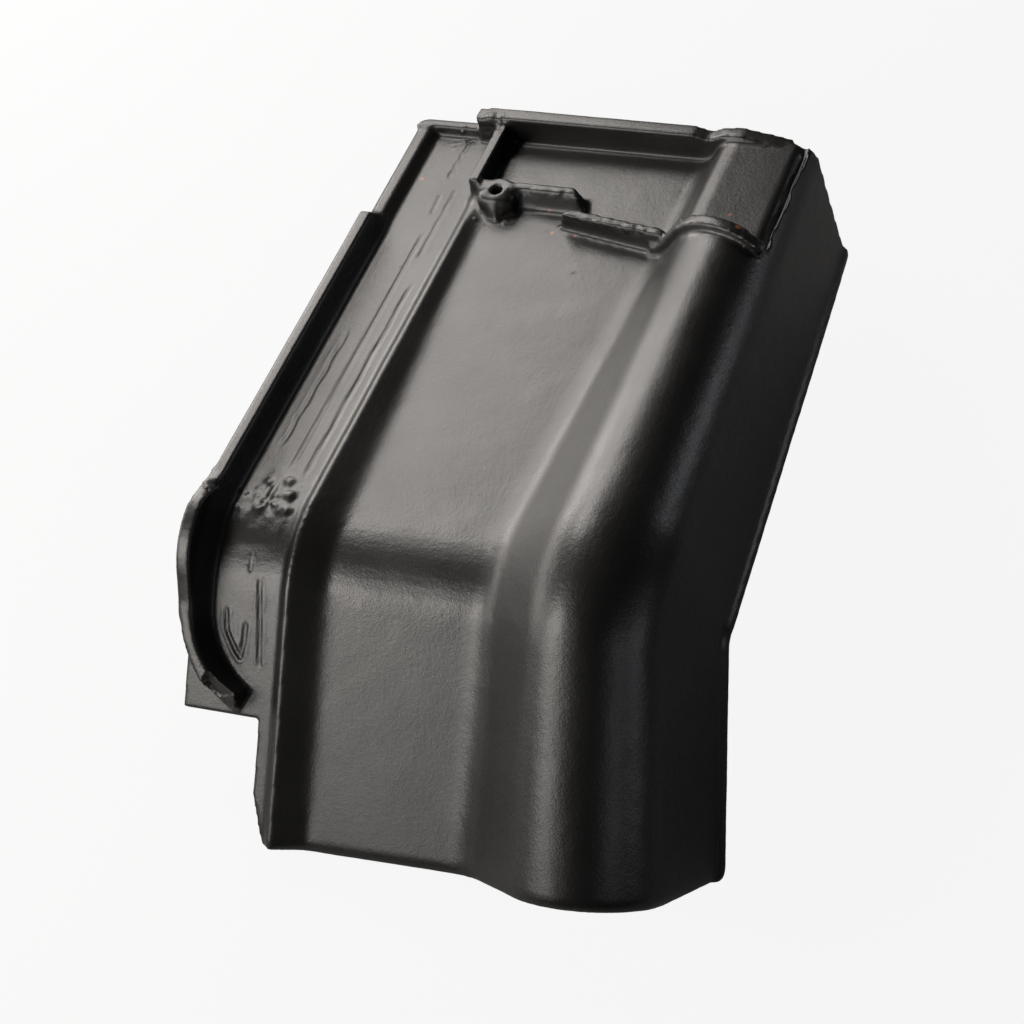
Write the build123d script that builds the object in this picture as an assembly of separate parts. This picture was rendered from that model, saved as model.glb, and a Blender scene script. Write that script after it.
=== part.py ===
from build123d import *
import math
import os

# Right-hand verge tile with a knee, for the bend of a mansard roof: one pressed and fired clay piece.
# The tile is drawn with its upper leg flat: X runs across it, Y up the slope, Z out of the weather side.
# The lower leg is the same drawing turned about X by the knee angle. Places on the upper leg are written
# as s, up the slope from the knee line, and places on the lower leg as q, down the slope from it.

# Driving dimensions, in millimetres and degrees
knee_angle = 48.0
upper_length = 308.0
lower_length = 154.0
wall = 12.0
plate = 10.0
tail_skew = 1.3
flap_depth = 60.0
flap_tail_depth = 84.0
flap_x = 214.0
flap_head_x = 188.0
flap_end_gap = 3.0
flap_end_slant = 8.0
bead_out = 2.6
bead_height = 5.0

# Weather surface, with heights measured from the top of the ridge beside the side channel
ridge_width = 3.0
ridge_slope = 28.0
ridge_round = 3.0
foot_round = 12.0
pan_depth = 9.0
pan_head_depth = 2.5

# Roll at the tail, the knee and the head: outer side, crest height, radius, flank angle, valley radius
roll_tail = (213.0, 28.0, 43.0, 38.0, 30.0)
roll_knee = (203.0, 27.0, 38.0, 40.0, 25.0)
roll_head = (182.0, 24.0, 28.0, 56.0, 12.0)

# Side channel and its water rib
channel_x = -54.0
channel_floor = -4.2
channel_lap = 11.0
rib_width = 6.6
rib_draft = 4.6
tall_rib_top = 11.1
low_rib_top = 1.6
rib_step_s = 222.0
rib_curve_q = 38.0
rib_curve_radius = 60.0
rib_curve_angle = 62.0
rib_knee_top = 14.8
rib_knee_middle = (-13.5, 8.0)
rib_knee_fall = (-28.4, -10.6)
rib_knee_reach = 48.0
rib_knee_rise = 8.5
notch_q = 94.0

# Head lock: head rib, return rib, two cross ribs, nail boss and the lowered end of the roll
head_rib_width = 8.0
head_rib_top = 15.0
head_rib_dip = 12.5
return_rib_x = 2.0
return_rib_width = 6.0
return_rib_top = 11.0
cross_rib_width = 5.0
cross_rib_top = 8.5
cross_rib_draft = 3.0
left_rib_s = 256.0
left_rib_end = 63.0
right_rib_s = 240.0
right_rib_start = 60.0
roll_rib_start = (112.0, 234.5)
roll_rib_end = (192.0, 219.0)
roll_rib_height = 5.5
roll_rib_end_angle = 36.0
shelf_height = 13.0
shelf_left = 130.0
shelf_round = 9.0
flap_lip = 4.5
flap_lip_low = 8.0
channel_stop_width = 6.0
channel_stop_rise = 1.5
head_corner_round = 7.0
post_width = 14.0
post_length = 9.0
nail_hole = 6.5
nail_x = 17.0
nail_s = 251.0
boss_radius = 9.5
boss_top = 9.0

# Hanging nibs under the head
nib_width = 28.0
nib_length = 16.0
nib_depth = 34.0
nib_s = 276.0
nib_draft = 4.0
nib_places = (30.0, 92.0)

# Rounded tail edge
tail_rounding = 7.0
tail_steps = 3
tail_corner_cut = (7.0, 26.0)

# Knee: the bend turns about a line just below the flap's lower edge
knee_clearance = 9.0
knee_radius = flap_depth + knee_clearance
knee_run = knee_radius * math.tan(math.radians(knee_angle / 2))
knee_axis = Axis((0, knee_run, -knee_radius), (1, 0, 0))
lower = Rot(knee_angle, 0, 0)


def mix(start, end, share):
    return start + (end - start) * share


class Shape:
    """Cross-section at one place along the tile. On the upper leg share runs from 0, knee, to 1, head,
    and on the lower leg from 0, knee, to -1, tail."""

    def __init__(self, share=0.0, roll_skin=wall):
        end = roll_head if share > 0 else roll_tail
        sizes = [mix(knee, far, abs(share)) for knee, far in zip(roll_knee, end)]
        self.side, self.crest, self.round, self.slope, self.valley_round = sizes
        self.pan = mix(pan_depth, pan_head_depth, max(share, 0))
        self.foot = mix(flap_x, flap_head_x, max(share, 0))
        self.flap_low = -mix(flap_depth, flap_tail_depth, max(-share, 0))
        self.roll_skin = roll_skin
        sine = math.sin(math.radians(self.slope))
        cosine = math.cos(math.radians(self.slope))
        rise = self.crest + self.pan - (self.round + self.valley_round) * (1 - cosine)
        flank = rise / sine
        self.roll_centre = (self.side - self.round, self.crest - self.round)
        valley = self.side - self.round * (1 + sine) - flank * cosine - self.valley_round * sine
        self.valley_centre = (valley, self.valley_round - self.pan)
        sine = math.sin(math.radians(ridge_slope))
        cosine = math.cos(math.radians(ridge_slope))
        slope_length = (self.pan - (ridge_round + foot_round) * (1 - cosine)) / sine
        foot = ridge_width / 2 + (ridge_round + foot_round) * sine + slope_length * cosine
        self.ridge_centre = (ridge_width / 2, -ridge_round)
        self.foot_centre = (foot, foot_round - self.pan)

    def pan_and_roll(self, inset, roll_inset, end_angle=0.0):
        """Edges from the foot of the ridge over the pan and the roll, inset below the weather surface."""
        lean = math.degrees(math.atan2(self.foot - self.side, self.roll_centre[1] - self.flap_low))
        foot = CenterArc(self.foot_centre, foot_round + inset, -90 - ridge_slope, ridge_slope)
        valley = CenterArc(self.valley_centre, self.valley_round + inset, -90, self.slope)
        start = 90 + self.slope
        crest = CenterArc(self.roll_centre, self.round - roll_inset, start, lean + end_angle - start)
        return [foot, Line(foot @ 1, valley @ 0), valley, Line(valley @ 1, crest @ 0), crest]

    def section(self, inset=0.0):
        """Closed section from the channel's right strip over the ridge, pan and roll down the flap."""
        ridge = CenterArc(self.ridge_centre, ridge_round - inset / 3, 90, -ridge_slope)
        top = self.pan_and_roll(inset, inset)
        under = self.pan_and_roll(wall, self.roll_skin)
        floor = channel_floor - inset
        bead_x = self.foot + bead_out - inset
        inside = self.foot - wall
        outline = [
            (top[-1] @ 1),
            (self.foot - inset, self.flap_low + bead_height + 1.5),
            (bead_x, self.flap_low + bead_height),
            (bead_x, self.flap_low + 1),
            (bead_x - 1, self.flap_low),
            (inside, self.flap_low),
            (under[-1] @ 1),
        ]
        left = [
            (under[0] @ 0),
            (-channel_lap, channel_floor - plate),
            (-channel_lap, floor),
            (-ridge_width, floor),
            (ridge @ 0),
        ]
        rim = [Line(a, b) for a, b in zip(outline, outline[1:])]
        side = [Line(a, b) for a, b in zip(left, left[1:])]
        return make_face([ridge, Line(ridge @ 1, top[0] @ 0)] + top + rim + under + side)

    def skin_band(self, below, above):
        """Band of the roll's surface, used for the cross rib that runs over it."""
        high = self.pan_and_roll(-above, -above, roll_rib_end_angle)[2:]
        low = self.pan_and_roll(below, below, roll_rib_end_angle)[2:]
        return make_face(high + low + [Line(high[0] @ 0, low[0] @ 0), Line(high[-1] @ 1, low[-1] @ 1)])


def station(s):
    """Section plane across the upper leg at s: sketch x is X and sketch y is Z."""
    return Plane.XZ.offset(-s)


def across(face, s_low, s_high):
    """A sketch in X and Z drawn out along the upper leg from s_low to s_high."""
    return extrude(station(s_low) * face, s_low - s_high)


def along_head(s):
    return (s - knee_run) / (upper_length - knee_run)


def tail_place(step):
    """Place of one of the sections that round the tail edge, which is cut a little out of square."""
    angle = math.radians(90 * step / (tail_steps + 0.5))
    q = lower_length - tail_rounding * (1 - math.sin(angle))
    place = lower * Pos(flap_x, -q, 0) * Rot(0, 0, tail_skew) * Pos(-flap_x, 0, 0)
    return place, tail_rounding * 0.6 * (1 - math.cos(angle))


def wall_body():
    """Pan, roll and flap: lofted legs joined by the turned knee, with a rounded tail edge."""
    knee_face = station(knee_run) * Shape().section()
    lock_s = roll_rib_end[1]
    lock_face = station(lock_s) * Shape(along_head(lock_s)).section()
    thick_lock = station(lock_s) * Shape(along_head(lock_s), wall + 6).section()
    head_face = station(upper_length) * Shape(1.0, wall + 7).section()
    body = loft([knee_face, lock_face], ruled=True)
    body += loft([thick_lock, head_face], ruled=True)
    body += revolve(knee_face, knee_axis, knee_angle)
    faces = [lower * (station(-knee_run) * Shape().section())]
    for step in range(tail_steps + 1):
        place, inset = tail_place(step)
        faces.append(place * (station(0) * Shape(-1.0).section(inset)))
    for near, far in zip(faces, faces[1:]):
        body += loft([near, far], ruled=True)
    return body


def rib_face(top):
    """Section of the water rib at the left edge with the strip of channel floor under it."""
    outer = channel_x
    inner = channel_x + rib_width + 2.0
    foot = inner + rib_draft
    low = channel_floor - plate
    return make_face(Polyline(
        (outer, low), (outer, channel_floor), (outer + 2.0, top), (inner, top),
        (foot, channel_floor), (foot, low), close=True))


def rib_knee_cap():
    """Extra clay that was added on the tall rib where it goes round the knee."""
    seat_level = (tall_rib_top + channel_floor) / 2
    seat = knee_radius + seat_level
    turn = math.radians(knee_angle)
    down_leg = Vector(-math.cos(turn), -math.sin(turn))
    off_leg = Vector(-math.sin(turn), math.cos(turn))
    lower_end = down_leg * rib_knee_reach + off_leg * rib_knee_rise
    seat_end = lower_end - off_leg * (rib_knee_rise - seat_level + 1)
    middle = Vector(knee_run - seat * math.sin(turn / 2), seat * math.cos(turn / 2) - knee_radius)
    bend_end = Vector(knee_run - seat * math.sin(turn), seat * math.cos(turn) - knee_radius)
    start = (knee_run, tall_rib_top - 0.5)
    top = (rib_draft, rib_knee_top)
    nose = ThreePointArc(top, rib_knee_middle, rib_knee_fall)
    back = Polyline(rib_knee_fall, lower_end, seat_end, bend_end, middle, (knee_run, seat_level), start)
    face = Plane.YZ.offset(channel_x + 0.6) * make_face([Line(start, top), nose, back])
    return extrude(face, rib_width + 1.4)


def channel_body():
    """Side channel: floor plate with the tall rib, the low rib near the head and the curved lower end."""
    low = channel_floor - plate
    floor = make_face(Polyline(
        (channel_x, low), (channel_x, channel_floor), (-channel_lap + 1, channel_floor),
        (-channel_lap + 1, low), close=True))
    knee_floor = station(knee_run) * floor
    body = across(floor, knee_run, upper_length)
    body += revolve(knee_floor, knee_axis, knee_angle)
    body += lower * across(floor, -notch_q, -knee_run)
    tall = rib_face(tall_rib_top)
    body += across(tall, knee_run, rib_step_s)
    body += across(rib_face(low_rib_top), rib_step_s, upper_length)
    ramp = tall_rib_top - low_rib_top
    body += loft([station(rib_step_s) * tall, station(rib_step_s + ramp) * rib_face(low_rib_top)], ruled=True)
    body += revolve(station(knee_run) * tall, knee_axis, knee_angle)
    body += rib_knee_cap()
    body += lower * across(tall, -rib_curve_q, -knee_run)
    turn = Axis((channel_x + rib_curve_radius, -rib_curve_q, 0), (0, 0, 1))
    curve = revolve(station(-rib_curve_q) * tall, turn, rib_curve_angle)
    keep = Pos(0, -notch_q / 2, 0) * Box(200, notch_q, 100)
    return body + lower * (curve & keep)


def drafted_rib(outline, low, top, draft):
    """Rib from a four-cornered outline of its top, with sloping sides; the corners run anticlockwise."""
    centre = sum((Vector(*corner) for corner in outline), Vector()) * 0.25
    base = []
    for corner in outline:
        away = Vector(*corner) - centre
        spread_x = math.copysign(draft * 1.6, away.X)
        spread_y = math.copysign(draft, away.Y)
        base.append((corner[0] + spread_x, corner[1] + spread_y))
    upper_face = Pos(0, 0, top) * make_face(Polyline(*outline, close=True))
    lower_face = Pos(0, 0, low) * make_face(Polyline(*base, close=True))
    return loft([lower_face, upper_face], ruled=True)


def plan_prism(points):
    return Pos(0, 0, -60) * extrude(make_face(Polyline(*points, close=True)), 140)


def roll_lock_line():
    """Rear edge of the roll's cross rib, seen in plan, which drifts down the slope towards the flap."""
    return [Vector(*roll_rib_start), Vector(*roll_rib_end)]


def roll_shelf_cutter():
    """Space above the lowered, flat end of the roll, between its cross rib and the head rib."""
    faces = []
    start_s = roll_rib_end[1]
    for s, lip in ((start_s, flap_lip_low), (upper_length, flap_lip)):
        shape = Shape(along_head(s))
        lip_x = shape.side - lip
        left = shelf_left - shelf_round * 1.6
        shoulder = shelf_left + shelf_round
        outline = Polyline(
            (left - 3, -shape.pan - 0.5), (left, -shape.pan + 1.5), (shelf_left - 2, shelf_height - 5),
            (shelf_left + 3, shelf_height - 1), (shoulder, shelf_height),
            (lip_x - 5, shelf_height - 1.5), (lip_x - 2.5, shelf_height - 7),
            (lip_x, shelf_height - 7), (lip_x, 60), (left - 3, 60), close=True)
        faces.append(station(s) * make_face(outline))
    rear, far = roll_lock_line()
    plan = [rear, far, (far.X + 20, far.Y), (far.X + 20, upper_length + 5), (rear.X - 20, upper_length + 5)]
    plan.append((rear.X - 20, rear.Y))
    return loft(faces, ruled=True) & plan_prism(plan)


def roll_rib():
    """Cross rib where it climbs over the roll: a raised band of the roll's own surface."""
    rear, far = roll_lock_line()
    low_s = far.Y - 15
    high_s = rear.Y + 5
    bands = [station(s) * Shape(along_head(s)).skin_band(4.0, roll_rib_height) for s in (low_s, high_s)]
    width = cross_rib_width + 2.5
    plan = [rear, far, (far.X, far.Y - width), (rear.X, rear.Y - width)]
    return loft(bands, ruled=True) & plan_prism(plan)


def head_rib():
    """Rib along the head edge: level over the pan, dipped before the roll, falling to the flap."""
    shape = Shape(1.0)
    centre_x = shape.roll_centre[0]
    low = -pan_head_depth - 4
    dip_x = shape.valley_centre[0] + 8
    path = Polyline(
        (-8.0, low), (-8.0, head_rib_top), (dip_x - 9, head_rib_top), (dip_x, head_rib_dip),
        (dip_x + 8, head_rib_top + 1), (centre_x - 12, head_rib_top + 1.5), (centre_x + 6, head_rib_top - 2),
        (shape.side - 1, 8.0), (shape.side + 1, -4), (centre_x, 0), (dip_x, low), close=True)
    return across(make_face(path), upper_length - head_rib_width, upper_length)


def head_lock(body):
    body -= roll_shelf_cutter()
    low = -pan_head_depth - 4
    body += head_rib()
    left = return_rib_x - return_rib_width / 2
    right = return_rib_x + return_rib_width / 2
    tail = left_rib_s - 2.0
    body += drafted_rib([(left, tail), (right, tail), (right, upper_length), (left, upper_length)],
                        low, return_rib_top, 1.0) & plan_prism(
                            [(left - 9, tail - 9), (right + 9, tail - 9), (right + 9, upper_length),
                             (left - 9, upper_length)])
    post_top = head_rib_top - 0.5
    post = Box(post_width, post_length, post_top - low)
    body += Pos(left - post_width / 2 + 1, upper_length - post_length / 2, (post_top + low) / 2) * post
    half = cross_rib_width / 2
    body += drafted_rib(
        [(right, left_rib_s - half), (left_rib_end, left_rib_s - half), (left_rib_end - 3, left_rib_s + half),
         (right, left_rib_s + half)], low, cross_rib_top, cross_rib_draft)
    right_end = roll_rib_start[0] + 8
    body += drafted_rib(
        [(right_rib_start - 1, right_rib_s - half), (right_end, roll_rib_start[1] - 2 * half),
         (right_end, roll_rib_start[1]), (right_rib_start + 4, right_rib_s + half)],
        low - 2, cross_rib_top, cross_rib_draft)
    body += roll_rib()
    body += Pos(nail_x, nail_s, low) * extrude(Circle(boss_radius), boss_top - low)
    stop_top = low_rib_top + channel_stop_rise
    stop = Box(-channel_lap - channel_x + 2, channel_stop_width, plate + stop_top - channel_floor)
    stop_z = (stop_top + channel_floor - plate) / 2
    body += Pos((channel_x - channel_lap) / 2 + 1, upper_length - channel_stop_width / 2, stop_z) * stop
    body -= flap_end_cutter()
    body -= head_corner_cutter()
    body -= Pos(nail_x, nail_s, 0) * Cylinder(nail_hole / 2, 120)
    return body


def head_corner_cutter():
    """Waste outside the rounded outer corner of the channel at the head."""
    size = head_corner_round
    corner = Pos(channel_x, upper_length, 0) * Box(2 * size, 2 * size, 80)
    return corner - Pos(channel_x + size, upper_length - size, 0) * Cylinder(size, 80)


def tail_corner():
    """Lowest point of the tail edge's left end, where the slanted cut meets it."""
    place = tail_place(tail_steps)[0]
    strip_end = Shape(-1.0).pan_and_roll(wall, wall)[0] @ 0
    share = tail_corner_cut[0] / (strip_end.X + channel_lap)
    low = mix(channel_floor - plate, strip_end.Y, share)
    return (place * Pos(tail_corner_cut[0] - channel_lap, 0, low)).position


def tail_corner_cutter():
    """Waste outside the slanted cut across the left corner of the tail edge."""
    width, length = tail_corner_cut
    corner = (lower.inverse() * Pos(tail_corner())).position
    back = Vector(-width, length) * 1.3
    near = Vector(corner.X, corner.Y) + back
    far = Vector(corner.X, corner.Y) - back * 0.3
    outer = -channel_lap - 2 * width
    waste = Polyline(near, far, (outer, far.Y), (outer, near.Y), close=True)
    return lower * (Pos(0, 0, -40) * extrude(make_face(waste), 80))


def flap_end_cutter():
    """Slanted cut across the head end of the flap, so that the flap stops short of the head rib."""
    top = 8.0
    rise = top + flap_depth
    near = upper_length - flap_end_gap
    face = make_face(Polyline(
        (near, top), (near - flap_end_slant, -flap_depth), (near - flap_end_slant - 1.5, -flap_depth - 12),
        (near + 30, -flap_depth - 12), (near + 30, top + 0.2 * rise), (near, top + 0.2 * rise), close=True))
    side = roll_head[0] - wall - 2
    return extrude(Plane.YZ.offset(side) * face, 60)


def nib(x):
    """Hanging nib under the head, with the draft that lets it leave its mould."""
    top = -pan_head_depth - wall / 2
    lean = (nib_depth + top) * math.tan(math.radians(nib_draft))
    face = make_face(Polyline(
        (nib_s, top), (nib_s + lean, -nib_depth), (nib_s + 0.6 * nib_length, -nib_depth),
        (nib_s + nib_length, top), close=True))
    return extrude(Plane.YZ.offset(x - nib_width / 2) * face, nib_width)


def floor_plane():
    """Level floor under the tile: it lies on its head corner, its tail corner and the tail of its flap."""
    place = tail_place(tail_steps)[0]
    rounded = head_corner_round * (1 - math.cos(math.radians(45)))
    head_corner = Vector(channel_x + rounded, upper_length - rounded, channel_floor - plate)
    flap_corner = (place * Pos(flap_x - wall, 0, -flap_tail_depth)).position
    origin = tail_corner()
    along = flap_corner - origin
    return Plane(origin=origin, x_dir=along, z_dir=along.cross(head_corner - origin))


tile = wall_body() + channel_body() - tail_corner_cutter()
tile = head_lock(tile)
for place in nib_places:
    tile += nib(place)

# Stored as it lies on a level floor, with the origin under the middle of its outline
tile = floor_plane().location.inverse() * tile
reach = tile.bounding_box()
tile = Pos(-reach.center().X, -reach.center().Y, -reach.min.Z) * tile

os.makedirs("parts", exist_ok=True)
export_step(tile, "parts/verge_tile.step")
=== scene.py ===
import math
import bpy
import bmesh
import numpy as np
from mathutils import Matrix, Vector


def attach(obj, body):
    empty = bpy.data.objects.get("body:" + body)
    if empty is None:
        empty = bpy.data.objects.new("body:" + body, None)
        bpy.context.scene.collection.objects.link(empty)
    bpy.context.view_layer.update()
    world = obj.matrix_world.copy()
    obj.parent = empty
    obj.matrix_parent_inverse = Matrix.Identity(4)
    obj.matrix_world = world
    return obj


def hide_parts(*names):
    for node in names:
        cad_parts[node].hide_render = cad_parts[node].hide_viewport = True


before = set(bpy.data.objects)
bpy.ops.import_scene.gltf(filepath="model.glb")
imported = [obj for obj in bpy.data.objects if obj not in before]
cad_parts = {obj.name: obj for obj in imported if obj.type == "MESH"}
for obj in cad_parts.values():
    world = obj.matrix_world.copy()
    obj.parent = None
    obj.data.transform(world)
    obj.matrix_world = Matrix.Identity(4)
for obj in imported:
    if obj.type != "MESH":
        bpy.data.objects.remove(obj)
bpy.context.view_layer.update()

# The tile's own frame inside the row frame: X across the tile, Y up its upper leg, Z out of its weather side.
# Sculpting places, widths and heights are in millimetres in that frame.
TILE_AXES = np.array([
    (0.948641, 0.248969, -0.195205),
    (-0.187252, 0.939184, 0.287873),
    (0.255005, -0.236534, 0.937563),
])
TILE_ORIGIN = np.array([-105.543, -61.629, 98.930])
KNEE = math.radians(48.0)
CHANNEL_FLOOR = -4.0

# The even division of the tile's mesh, in metres
VOXEL = 0.0013
WELD = 1e-5
MOST_TRIANGLES = 190000


def to_row(place):
    """Metres in the row frame from millimetres in the tile frame."""
    return Vector((TILE_AXES @ np.array(place, float) + TILE_ORIGIN) / 1000)


def row_direction(direction):
    return Vector(TILE_AXES @ np.array(direction, float)).normalized()


def upper(x, s, n):
    """A place on the upper leg, s up the slope from the knee line and n above the pan."""
    return np.array((x, s, n), float)


def lower(x, q, n):
    """A place on the lower leg, q down the slope from the knee line and n above the pan."""
    return np.array((
        x,
        -q * math.cos(KNEE) - n * math.sin(KNEE),
        -q * math.sin(KNEE) + n * math.cos(KNEE),
    ))


UPPER_OUT = upper(0, 0, 1)
LOWER_OUT = lower(0, 0, 1)


def on_lower_leg(places):
    """Places written as x, q and height over the lower leg."""
    q = -places[:, 1] * math.cos(KNEE) - places[:, 2] * math.sin(KNEE)
    n = -places[:, 1] * math.sin(KNEE) + places[:, 2] * math.cos(KNEE)
    return np.stack([places[:, 0], q, n], axis=1)


def smooth_noise(places, size, seed):
    """Smooth random values from -1 to 1 that vary over about the given size, the same on every run."""
    scaled = places / size + seed * 17.31
    cell = np.floor(scaled).astype(np.int64)
    part = scaled - cell
    part = part * part * part * (part * (part * 6 - 15) + 10)

    def corner(dx, dy, dz):
        # A hash of the grid corner, brought to the range from -1 to 1
        h = (cell[:, 0] + dx) * 73856093 ^ (cell[:, 1] + dy) * 19349663 ^ (cell[:, 2] + dz) * 83492791
        h = (h ^ (h >> 13)) * 1274126177 & 0x7FFFFFFF
        h = (h ^ (h >> 11)) * 668265263 & 0x7FFFFFFF
        return (h % 20011) / 10005.5 - 1

    total = np.zeros(len(places))
    for dx in (0, 1):
        for dy in (0, 1):
            for dz in (0, 1):
                weight = (
                    (part[:, 0] if dx else 1 - part[:, 0])
                    * (part[:, 1] if dy else 1 - part[:, 1])
                    * (part[:, 2] if dz else 1 - part[:, 2])
                )
                total += weight * corner(dx, dy, dz)
    return total


def fall(distance, radius):
    """1 at no distance, falling smoothly to 0 at the radius."""
    share = np.clip(1 - (distance / radius) ** 2, 0, 1)
    return share * share


def ease(value, start, end):
    """0 at the start, rising smoothly to 1 at the end."""
    share = np.clip((value - start) / (end - start), 0, 1)
    return share * share * (3 - 2 * share)


def path_distance(places, path):
    """Distance from each place to a line through the path's points, and how far along it, from 0 to 1."""
    path = np.array(path, float)
    best = np.full(len(places), np.inf)
    along = np.zeros(len(places))
    steps = np.linalg.norm(np.diff(path, axis=0), axis=1)
    total = steps.sum()
    done = 0.0
    for start, end, step in zip(path, path[1:], steps):
        run = end - start
        share = np.clip((places - start) @ run / (step * step), 0, 1)
        distance = np.linalg.norm(places - start - share[:, None] * run, axis=1)
        nearer = distance < best
        best[nearer] = distance[nearer]
        along[nearer] = (done + share[nearer] * step) / total
        done += step
    return best, along


class Clay:
    """The tile's fine mesh, with its points in millimetres in the tile frame."""

    def __init__(self, mesh):
        self.mesh = mesh
        raw = np.zeros(len(mesh.vertices) * 3, np.float32)
        mesh.vertices.foreach_get("co", raw)
        self.points = (raw.reshape(-1, 3).astype(float) * 1000 - TILE_ORIGIN) @ TILE_AXES
        self.find_normals()

    def find_normals(self):
        self.mesh.update()
        raw = np.zeros(len(self.mesh.vertices) * 3, np.float32)
        self.mesh.vertices.foreach_get("normal", raw)
        self.normals = raw.reshape(-1, 3).astype(float) @ TILE_AXES

    def write(self):
        """Brings the mesh up to date with the points, and the normals with the mesh."""
        row = (self.points @ TILE_AXES.T + TILE_ORIGIN) / 1000
        self.mesh.vertices.foreach_set("co", row.astype(np.float32).ravel())
        self.find_normals()

    def near(self, centre, radius):
        return np.nonzero(np.linalg.norm(self.points - centre, axis=1) < radius)[0]

    def push(self, chosen, move):
        """Moves the chosen points along their normals."""
        self.points[chosen] += self.normals[chosen] * move[:, None]

    def lump(self, centre, radius, height):
        chosen = self.near(centre, radius)
        distance = np.linalg.norm(self.points[chosen] - centre, axis=1)
        self.push(chosen, height * fall(distance, radius))

    def groove(self, path, width, depth, facing=UPPER_OUT, lips=0.0):
        """A scored line along the path, with a raised lip of the given height on each side."""
        path = np.array(path, float)
        middle = (path.min(0) + path.max(0)) / 2
        chosen = self.near(middle, np.linalg.norm(path.max(0) - path.min(0)) / 2 + 4 * width)
        chosen = chosen[self.normals[chosen] @ facing > 0.3]
        distance, along = path_distance(self.points[chosen], path)
        ends = ease(along, 0, 0.06) * ease(along, 1, 0.94)
        move = -depth * fall(distance, width) * ends
        move += lips * fall(distance - 1.3 * width, 0.7 * width) * ends
        self.push(chosen, move)

    def cut(self, point, facing, centre, radius, uneven=0.25):
        """A flat hand cut: points beyond the plane come back to it."""
        facing = np.array(facing, float) / np.linalg.norm(facing)
        chosen = self.near(centre, radius)
        beyond = (self.points[chosen] - point) @ facing
        wave = smooth_noise(self.points[chosen], 3.0, 5) * uneven
        move = np.clip(beyond + wave, 0, None)
        self.points[chosen] -= facing * move[:, None]

    def soften(self, weight, rounds):
        """Evens out the surface where the weight is above 0, keeping the rest."""
        pairs = np.zeros(len(self.mesh.edges) * 2, np.int32)
        self.mesh.edges.foreach_get("vertices", pairs)
        one, two = pairs.reshape(-1, 2).T
        count = len(self.points)
        links = np.maximum(np.bincount(one, minlength=count) + np.bincount(two, minlength=count), 1)
        for _ in range(rounds):
            total = np.zeros_like(self.points)
            for axis in range(3):
                total[:, axis] = (
                    np.bincount(one, self.points[two, axis], count)
                    + np.bincount(two, self.points[one, axis], count)
                )
            self.points += (total / links[:, None] - self.points) * weight[:, None]


def applied(obj, kind, **settings):
    """Adds a modifier with these settings and keeps its result as the object's mesh."""
    modifier = obj.modifiers.new(kind.lower(), kind)
    for name, value in settings.items():
        setattr(modifier, name, value)
    graph = bpy.context.evaluated_depsgraph_get()
    result = bpy.data.meshes.new_from_object(obj.evaluated_get(graph))
    obj.modifiers.clear()
    obj.data = result


def fine_copy(node, name):
    """An evenly divided copy of a CAD node, with its sharp edges a little rounded."""
    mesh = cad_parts[node].data.copy()
    mesh.materials.clear()
    work = bmesh.new()
    work.from_mesh(mesh)
    bmesh.ops.remove_doubles(work, verts=work.verts, dist=WELD)
    work.to_mesh(mesh)
    work.free()
    # The grid of the even division lies along the tile's own edges
    turned = Matrix(TILE_AXES.tolist()).to_4x4()
    mesh.transform(turned.inverted())
    obj = bpy.data.objects.new(name, mesh)
    bpy.context.collection.objects.link(obj)
    applied(obj, "REMESH", mode="VOXEL", voxel_size=VOXEL)
    applied(obj, "SMOOTH", factor=0.5, iterations=5)
    obj.data.transform(turned)
    return obj


def soft_forms(clay):
    """The pressed surface has no hard lines at the foot of the ridge and in the valley beside the roll."""
    x, s, n = clay.points.T
    q = on_lower_leg(clay.points)[:, 1]
    outward = np.maximum(clay.normals @ UPPER_OUT, clay.normals @ LOWER_OUT) > 0.45
    not_underside = (n > -9.5) | (q > 25)
    clear_of_head = ease(s, 225, 205)
    clear_of_lower_edge = ease(q, 142, 128)
    ridge_foot = ease(x, 9, 16) * ease(x, 36, 26)
    valley = ease(x, 74, 90) * ease(x, 160, 146)
    shell = clear_of_head * clear_of_lower_edge * outward * not_underside
    clay.soften(np.clip(ridge_foot * 0.7 + valley, 0, 1) * shell * 0.5, 40)
    lip = ease(x, 170, 173) * ease(n, 3, 5) * ease(s, 218, 222) * (n < 30)
    clay.soften(lip * 0.5, 10)


def waves(clay):
    """Slight unevenness of pressed and dried clay."""
    move = np.zeros(len(clay.points))
    for seed, (height, size) in enumerate(((0.16, 34.0), (0.07, 12.0), (0.035, 4.5)), start=1):
        move += height * smooth_noise(clay.points, size, seed)
    clay.points += clay.normals * move[:, None]


def knee_crumple(clay):
    """Clay pushed up and smeared where the channel goes round the knee."""
    centre = upper(-24, 24, -6)
    chosen = clay.near(centre, 34)
    places = clay.points[chosen]
    here = fall(np.linalg.norm((places - centre) * (1.25, 1, 1), axis=1), 32)
    inside_channel = ease(places[:, 0], -43, -38) * ease(places[:, 0], 3, -4)
    here *= inside_channel * (clay.normals[chosen] @ UPPER_OUT > 0.2)
    folds = 1 - np.abs(smooth_noise(places * (1.0, 0.4, 0.4), 6.5, 7)) * 2
    fine = smooth_noise(places, 3.6, 8)
    clay.push(chosen, here * (1.2 * np.clip(folds, -0.3, 1) + 0.35 * fine))
    for x, s, radius, height in (
        (-13, 31, 5.0, 1.6),
        (-17, 40, 4.5, 1.2),
        (-28, 38, 4.0, 0.9),
        (-10, 22, 4.0, 1.2),
    ):
        clay.lump(upper(x, s, CHANNEL_FLOOR), radius, height)


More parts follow.
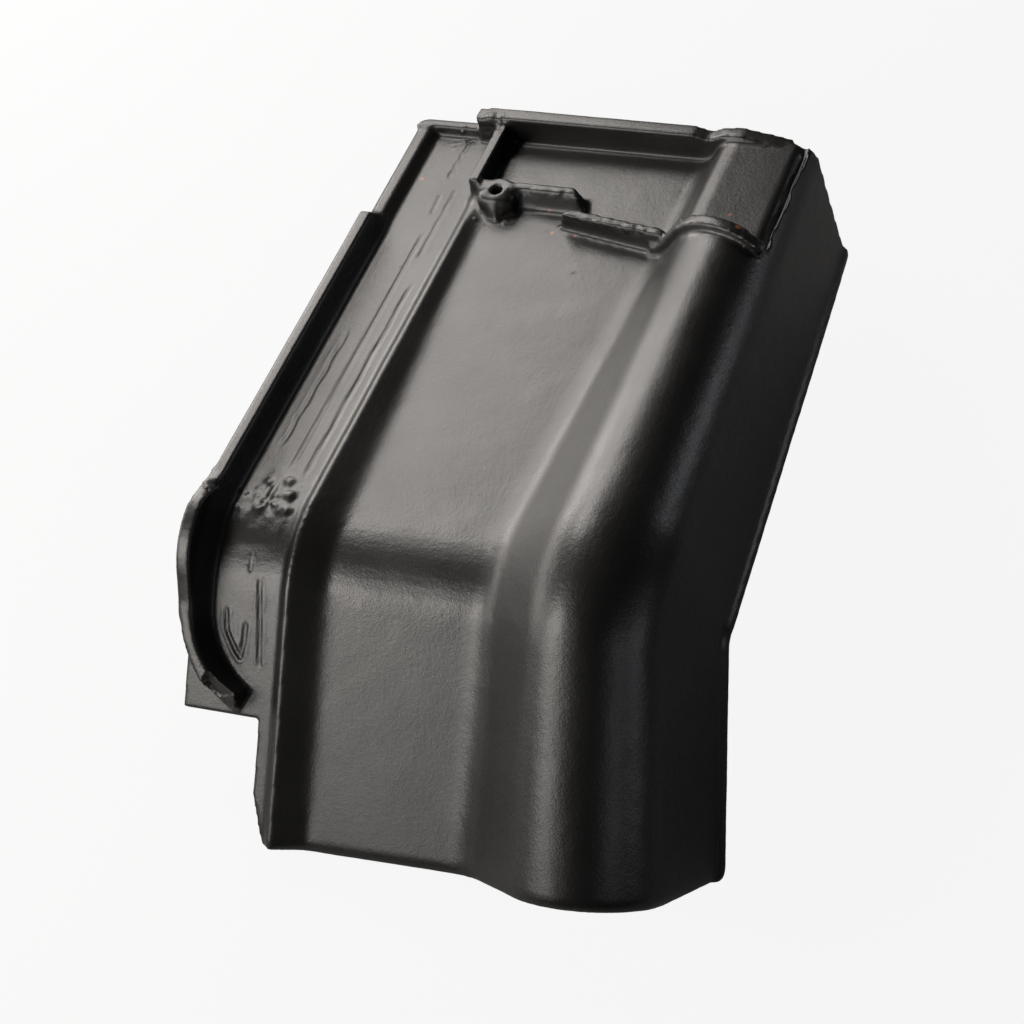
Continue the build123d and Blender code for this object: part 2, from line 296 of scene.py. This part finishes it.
def hand_cuts(clay):
    """Facets that a knife left on the water rib, at the knee and at its lower end."""
    clay.cut(upper(-52.5, 18, 11.6), (-0.75, 0.1, 0.65), upper(-53, 15, 11), 13)
    clay.cut(upper(-47.5, 13, 12.6), (0.5, 0.25, 0.83), upper(-48, 12, 13), 9)
    at_knee = [upper(-54, 18.5, 9), upper(-50, 15.5, 13), upper(-45, 12, 11)]
    clay.groove(at_knee, 1.3, 1.1, lips=0.3)
    rib_end = lower(-0.15, 0.45, 0.88)
    for q, height in ((72, 9.6), (79, 7.4), (86, 4.6)):
        clay.cut(lower(-29, q, height), rib_end, lower(-27, q + 5, 10), 8.5)
    for between_facets in (
        [lower(-37, 77, 6), lower(-30, 77, 11), lower(-24, 79, 9)],
        [lower(-31, 85, 6), lower(-24, 84, 10), lower(-19, 86, 7)],
    ):
        clay.groove(between_facets, 1.3, 0.9, LOWER_OUT, lips=0.3)


def rough_line(clay, start, end, seed, depth):
    """Chips and crumbles the surface within 6 mm of a line."""
    middle = (start + end) / 2
    chosen = clay.near(middle, np.linalg.norm(end - start) / 2 + 8)
    places = clay.points[chosen]
    distance, _ = path_distance(places, [start, end])
    rough = smooth_noise(places, 3.0, seed) + 0.5 * smooth_noise(places, 1.7, seed + 9)
    clay.push(chosen, depth * rough * fall(distance, 6))


def head_details(clay):
    """Broken post, chipped ribs and smeared clay round the head lock."""
    x, s, n = clay.points.T
    from_nail_hole = np.hypot(x - 17, s - 251)
    boss = ease(from_nail_hole, 4.5, 7) * ease(from_nail_hole, 24, 13) * ease(s, 256, 252) * (n > -8)
    clay.soften(boss * 0.5, 30)
    post = upper(-6, 300, 9)
    chosen = clay.near(post, 15)
    places = clay.points[chosen]
    rough = smooth_noise(places, 3.2, 11) + 0.6 * smooth_noise(places, 1.8, 12)
    clay.push(chosen, 0.8 * rough * fall(np.linalg.norm(places - post, axis=1), 15))
    clay.cut(upper(-9, 297, 10), (-0.3, -0.8, 0.5), upper(-10, 296, 9), 8, uneven=0.8)
    rough_line(clay, upper(62, 236.5, 7), upper(118, 231, 8), 13, 0.5)
    rough_line(clay, upper(132, 229, 20), upper(176, 222, 27), 14, 0.8)
    rough_line(clay, upper(8, 253.5, 8), upper(60, 253.5, 8), 15, 0.45)
    clay.lump(upper(9, 247, 4), 8.0, 2.6)
    clay.lump(upper(25, 246.5, 2), 7.0, 2.0)
    clay.lump(upper(17, 242, 0), 7.0, 1.8)
    clay.cut(upper(57, 235, 4.0), (-0.75, 0.1, 0.65), upper(57, 237, 4), 11)


def channel_marks(clay):
    """Lines scored along the side channel by the die and by hand."""
    deep, shallow = 0.85, 0.55
    spans = 8
    for number, (start, end, depth) in enumerate((
        ((-19.0, 230), (-20.5, 44), deep),
        ((-10.0, 189), (-11.0, 42), deep),
        ((-21.0, 301), (-22.0, 268), shallow),
        ((-21.5, 256), (-20.5, 240), shallow),
        ((-14.0, 262), (-14.5, 205), shallow),
        ((-31.0, 150), (-32.5, 62), shallow),
    )):
        start, end = upper(*start, CHANNEL_FLOOR), upper(*end, CHANNEL_FLOOR)
        wander = np.array([(0.5 * math.sin(3.1 * i + number), 0, 0) for i in range(spans + 1)])
        line = [start + (end - start) * i / spans for i in range(spans + 1)]
        clay.groove(line + wander, 1.4, depth, lips=0.2)
    hook = [(-33.5, 38.8), (-32.1, 51.4), (-27, 60), (-23.4, 64.5), (-22, 56), (-21.6, 44.8)]
    stroke = [(-15.9, 21.2), (-13.8, 45), (-12.3, 68.5)]
    clay.groove([lower(x, q, CHANNEL_FLOOR) for x, q in hook], 1.6, 0.8, LOWER_OUT, lips=0.35)
    clay.groove([lower(x, q, CHANNEL_FLOOR) for x, q in stroke], 1.5, 0.8, LOWER_OUT, lips=0.3)
    clay.groove([lower(-22.1, 11.2, -6), lower(-21.7, 21, -5)], 1.4, 0.6, LOWER_OUT, lips=0.2)


def crumbs(clay, places, size, seed):
    """Crumbs of clay that stuck to the surface before firing."""
    random = np.random.default_rng(seed)
    for centre, spread, count in places:
        for _ in range(count):
            place = centre + random.normal(0, spread, 3) * (1, 1, 0.3)
            chosen = clay.near(place, 8)
            if len(chosen):
                near = chosen[np.argmin(np.linalg.norm(clay.points[chosen] - place, axis=1))]
                radius = size * random.uniform(0.7, 1.4)
                clay.lump(clay.points[near].copy(), radius, radius * random.uniform(0.35, 0.6))


def sculpt(clay):
    soft_forms(clay)
    clay.write()
    waves(clay)
    knee_crumple(clay)
    hand_cuts(clay)
    head_details(clay)
    clay.write()
    channel_marks(clay)
    crumbs(clay, [
        (upper(22, 245, -1), 5.0, 22),
        (upper(-27, 301, 0), 4.0, 12),
        (upper(2, 262, -2), 4.0, 8),
        (upper(-24, 30, -5), 9.0, 14),
    ], 1.4, 21)
    clay.write()


def verge_tile_clay():
    """The sculpted tile, brought down to its share of triangles."""
    tile = fine_copy("verge_tile", "verge_tile_clay")
    sculpt(Clay(tile.data))
    triangles = sum(len(p.vertices) - 2 for p in tile.data.polygons)
    applied(tile, "DECIMATE", ratio=min(1.0, MOST_TRIANGLES / triangles), use_collapse_triangulate=True)
    for polygon in tile.data.polygons:
        polygon.use_smooth = True
    tile.data.name = "verge_tile_clay"
    return tile


def node(tree, kind, **inputs):
    made = tree.nodes.new(kind)
    for name, value in inputs.items():
        made.inputs[name.replace("_", " ")].default_value = value
    return made


def maths(tree, operation, first, second):
    """The result of a Math node on a linked output and a second output or constant number."""
    made = tree.nodes.new("ShaderNodeMath")
    made.operation = operation
    tree.links.new(first, made.inputs[0])
    if isinstance(second, float):
        made.inputs[1].default_value = second
    else:
        tree.links.new(second, made.inputs[1])
    return made.outputs["Value"]


# Specks where the clay shows through the engobe: places in the tile frame and radii in millimetres
BARE_SPECKS = (
    ((-37.2, 266.7, -4.3), 1.3),
    ((45.7, 251.3, -2.9), 1.2),
    ((52.6, 235.7, -4.3), 1.1),
    ((66.2, 235.0, -4.1), 1.0),
    ((153.5, 245.5, 12.3), 1.2),
    ((169.2, 221.1, 28.3), 1.4),
    ((-46.8, 13.7, 13.6), 1.4),
)
ENGOBE_DARK = (0.0045, 0.0042, 0.004, 1)
ENGOBE_LIGHT = (0.009, 0.0084, 0.008, 1)
BARE_CLAY = (0.2, 0.06, 0.025, 1)


def nearest_speck(tree, place):
    """Distance to the nearest bare speck, in units of that speck's radius."""
    nearest = None
    for speck, radius in BARE_SPECKS:
        apart = tree.nodes.new("ShaderNodeVectorMath")
        apart.operation = "DISTANCE"
        apart.inputs[1].default_value = to_row(speck)
        tree.links.new(place, apart.inputs[0])
        radii = maths(tree, "MULTIPLY", apart.outputs["Value"], 1000 / radius)
        nearest = maths(tree, "MINIMUM", nearest, radii) if nearest else radii
    return nearest


def engobe():
    """Black satin engobe with a fine orange-peel grain and a few bare specks."""
    material = bpy.data.materials.new("engobe")
    material.use_nodes = True
    tree = material.node_tree
    shader = tree.nodes["Principled BSDF"]
    shader.inputs["IOR"].default_value = 1.6
    place = tree.nodes.new("ShaderNodeTexCoord").outputs["Object"]

    def noise(scale, detail):
        made = node(tree, "ShaderNodeTexNoise", Scale=scale, Detail=detail, Roughness=0.5)
        tree.links.new(place, made.inputs["Vector"])
        return made.outputs["Fac"]

    colours = tree.nodes.new("ShaderNodeValToRGB")
    colours.color_ramp.elements[0].color = ENGOBE_DARK
    colours.color_ramp.elements[1].color = ENGOBE_LIGHT
    tree.links.new(noise(14, 3), colours.inputs["Fac"])
    ragged = maths(tree, "ADD", nearest_speck(tree, place), noise(900, 2))
    bare = node(tree, "ShaderNodeMapRange", From_Min=1.7, From_Max=1.3)
    tree.links.new(ragged, bare.inputs["Value"])
    mixed = tree.nodes.new("ShaderNodeMix")
    mixed.data_type = "RGBA"
    covered, uncovered = [i for i in mixed.inputs if i.type == "RGBA"]
    uncovered.default_value = BARE_CLAY
    tree.links.new(bare.outputs["Result"], mixed.inputs["Factor"])
    tree.links.new(colours.outputs["Color"], covered)
    tree.links.new([o for o in mixed.outputs if o.type == "RGBA"][0], shader.inputs["Base Color"])

    gloss = node(tree, "ShaderNodeMapRange", To_Min=0.32, To_Max=0.44)
    tree.links.new(noise(30, 4), gloss.inputs["Value"])
    tree.links.new(gloss.outputs["Result"], shader.inputs["Roughness"])
    grain = maths(tree, "ADD", maths(tree, "MULTIPLY", noise(420, 2), 1.2), noise(1100, 2))
    bump = node(tree, "ShaderNodeBump", Strength=0.42, Distance=0.0002)
    tree.links.new(grain, bump.inputs["Height"])
    tree.links.new(bump.outputs["Normal"], shader.inputs["Normal"])
    return material


tile = verge_tile_clay()
tile.data.materials.append(engobe())
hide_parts("verge_tile")
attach(tile, "root")

# The camera at the photograph's viewing angle, in the tile frame; the lens and the sensor are in millimetres
CAMERA_PLACE = (795.409, -979.299, 1212.932)
CAMERA_RIGHT = (0.9086524, 0.3584283, -0.2141962)
CAMERA_UP = (-0.1258694, 0.7242407, 0.6779619)
CAMERA_BACK = (0.3981303, -0.5890710, 0.7031982)
CAMERA_LENS = 123.62
CAMERA_SENSOR = 36.0
CAMERA_REACH = 50.0


def photo_camera():
    camera = bpy.data.objects.new("camera", bpy.data.cameras.new("camera"))
    bpy.context.collection.objects.link(camera)
    axes = [row_direction(axis) for axis in (CAMERA_RIGHT, CAMERA_UP, CAMERA_BACK)]
    turn = Matrix(axes).transposed()
    camera.matrix_world = Matrix.Translation(to_row(CAMERA_PLACE)) @ turn.to_4x4()
    camera.data.lens = CAMERA_LENS
    camera.data.sensor_width = CAMERA_SENSOR
    camera.data.clip_end = CAMERA_REACH
    bpy.context.scene.camera = camera


FLOOR_SIZE = 12.0
FLOOR_GREY = (0.5, 0.5, 0.5, 1)
WHITE = (1, 1, 1, 1)
WHITE_SHARE = 0.9


def plain_floor():
    """A plain pale floor. Seen by the camera it is nearly white and keeps the tile's shadow."""
    bpy.ops.mesh.primitive_plane_add(size=FLOOR_SIZE, location=(0, 0, 0))
    floor = bpy.context.object
    floor.name = "floor"
    material = bpy.data.materials.new("floor")
    material.use_nodes = True
    tree = material.node_tree
    tree.nodes.clear()
    out = tree.nodes.new("ShaderNodeOutputMaterial")
    diffuse = node(tree, "ShaderNodeBsdfDiffuse", Color=FLOOR_GREY)
    glow = node(tree, "ShaderNodeEmission", Color=WHITE, Strength=1.0)
    path = tree.nodes.new("ShaderNodeLightPath")
    mixed = tree.nodes.new("ShaderNodeMixShader")
    tree.links.new(maths(tree, "MULTIPLY", path.outputs["Is Camera Ray"], WHITE_SHARE), mixed.inputs["Fac"])
    tree.links.new(diffuse.outputs["BSDF"], mixed.inputs[1])
    tree.links.new(glow.outputs["Emission"], mixed.inputs[2])
    tree.links.new(mixed.outputs["Shader"], out.inputs["Surface"])
    floor.data.materials.append(material)


# Soft panels round the tile, in the row frame: name, place and size in metres, radiance and colour
WARM = (1.0, 0.955, 0.91)
COOL = (0.93, 0.95, 1.0)
WIDE = (0.26, 0.19)
PANELS = (
    ("left_rear_low", (-0.44, 0.49, 0.11), WIDE, 10.5, WARM),
    ("left_rear_high", (-0.44, 0.49, 0.51), WIDE, 16.0, WARM),
    ("rear", (-0.24, 0.65, 0.31), WIDE, 9.0, WARM),
    ("rear_low", (-0.24, 0.65, 0.11), WIDE, 3.3, WARM),
    ("left_front_high", (-0.57, -0.27, 0.51), WIDE, 14.0, WARM),
    ("left_front", (-0.57, -0.27, 0.31), WIDE, 5.5, WARM),
    ("left", (-0.62, 0.0, 0.11), WIDE, 4.5, WARM),
    ("left_middle", (-0.57, 0.27, 0.11), WIDE, 4.5, WARM),
    ("front_left", (-0.44, -0.49, 0.31), WIDE, 4.0, WARM),
    ("right", (0.57, -0.27, 0.31), (0.2, 0.19), 1.3, COOL),
    ("right_rear", (0.6, 0.36, 0.25), (0.12, 0.16), 3.6, COOL),
    ("right_front", (0.44, -0.49, 0.51), WIDE, 1.3, COOL),
)


def softbox(name, place, size, radiance, colour):
    """A soft panel that stands upright and faces the tile."""
    width, height = size
    lamp = bpy.data.lights.new(name, "AREA")
    lamp.shape = "RECTANGLE"
    lamp.size, lamp.size_y = width, height
    lamp.energy = math.pi * width * height * radiance
    lamp.color = colour
    obj = bpy.data.objects.new(name, lamp)
    bpy.context.collection.objects.link(obj)
    obj.location = place
    obj.rotation_mode = "QUATERNION"
    obj.rotation_quaternion = Vector((place[0], place[1], 0)).to_track_quat("Z", "Y")
    obj.visible_camera = False


WORLD_STRENGTH = 0.02


def plain_world():
    world = bpy.data.worlds.new("world")
    bpy.context.scene.world = world
    world.use_nodes = True
    background = world.node_tree.nodes["Background"]
    background.inputs["Color"].default_value = WHITE
    background.inputs["Strength"].default_value = WORLD_STRENGTH


photo_camera()
plain_floor()
for panel in PANELS:
    softbox(*panel)
plain_world()
bpy.context.scene.view_settings.view_transform = "Standard"
